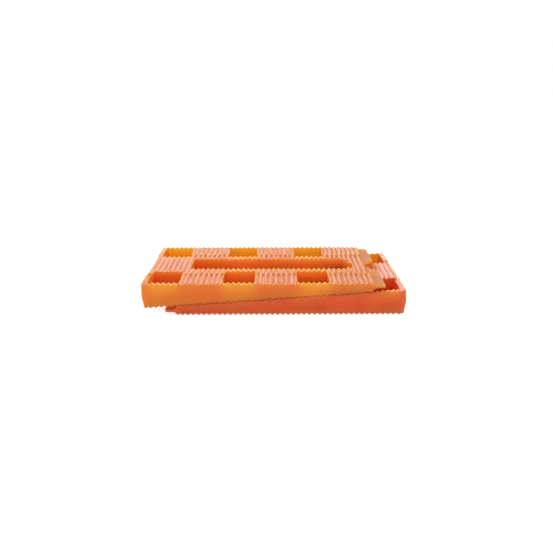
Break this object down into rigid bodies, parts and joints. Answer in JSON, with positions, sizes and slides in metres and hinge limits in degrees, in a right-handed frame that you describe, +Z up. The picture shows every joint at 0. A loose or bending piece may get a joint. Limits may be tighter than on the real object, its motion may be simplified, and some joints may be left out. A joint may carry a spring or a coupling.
{
  "type": "felling wedge",
  "caption": "Nesting pair of translucent orange plastic felling wedges with sawtooth ribs, windowed lanes, a long slot and a notched thin tongue.",
  "frame": {"origin": "under the middle of the nested pair, on the surface that the lower wedge's tooth crests stand on", "axes": "+X along the length towards the lower wedge's struck end, +Y across the width, +Z up through the bearing faces"},
  "size_m": [0.1534, 0.0636, 0.0201],
  "materials": {
    "orange_plastic": "satin moulded polyethylene, translucent orange, paler along rib crests"
  },
  "bodies": {
    "lower_wedge": {"lower_wedge": "orange_plastic"},
    "upper_wedge": {"upper_wedge": "orange_plastic"}
  },
  "joints": [
    {"name": "wedge_slide", "type": "slide", "parent": "lower_wedge", "child": "upper_wedge", "axis": [0.9972, 0, 0.0745], "range_m": [-0.04324, 0.01235]}
  ]
}
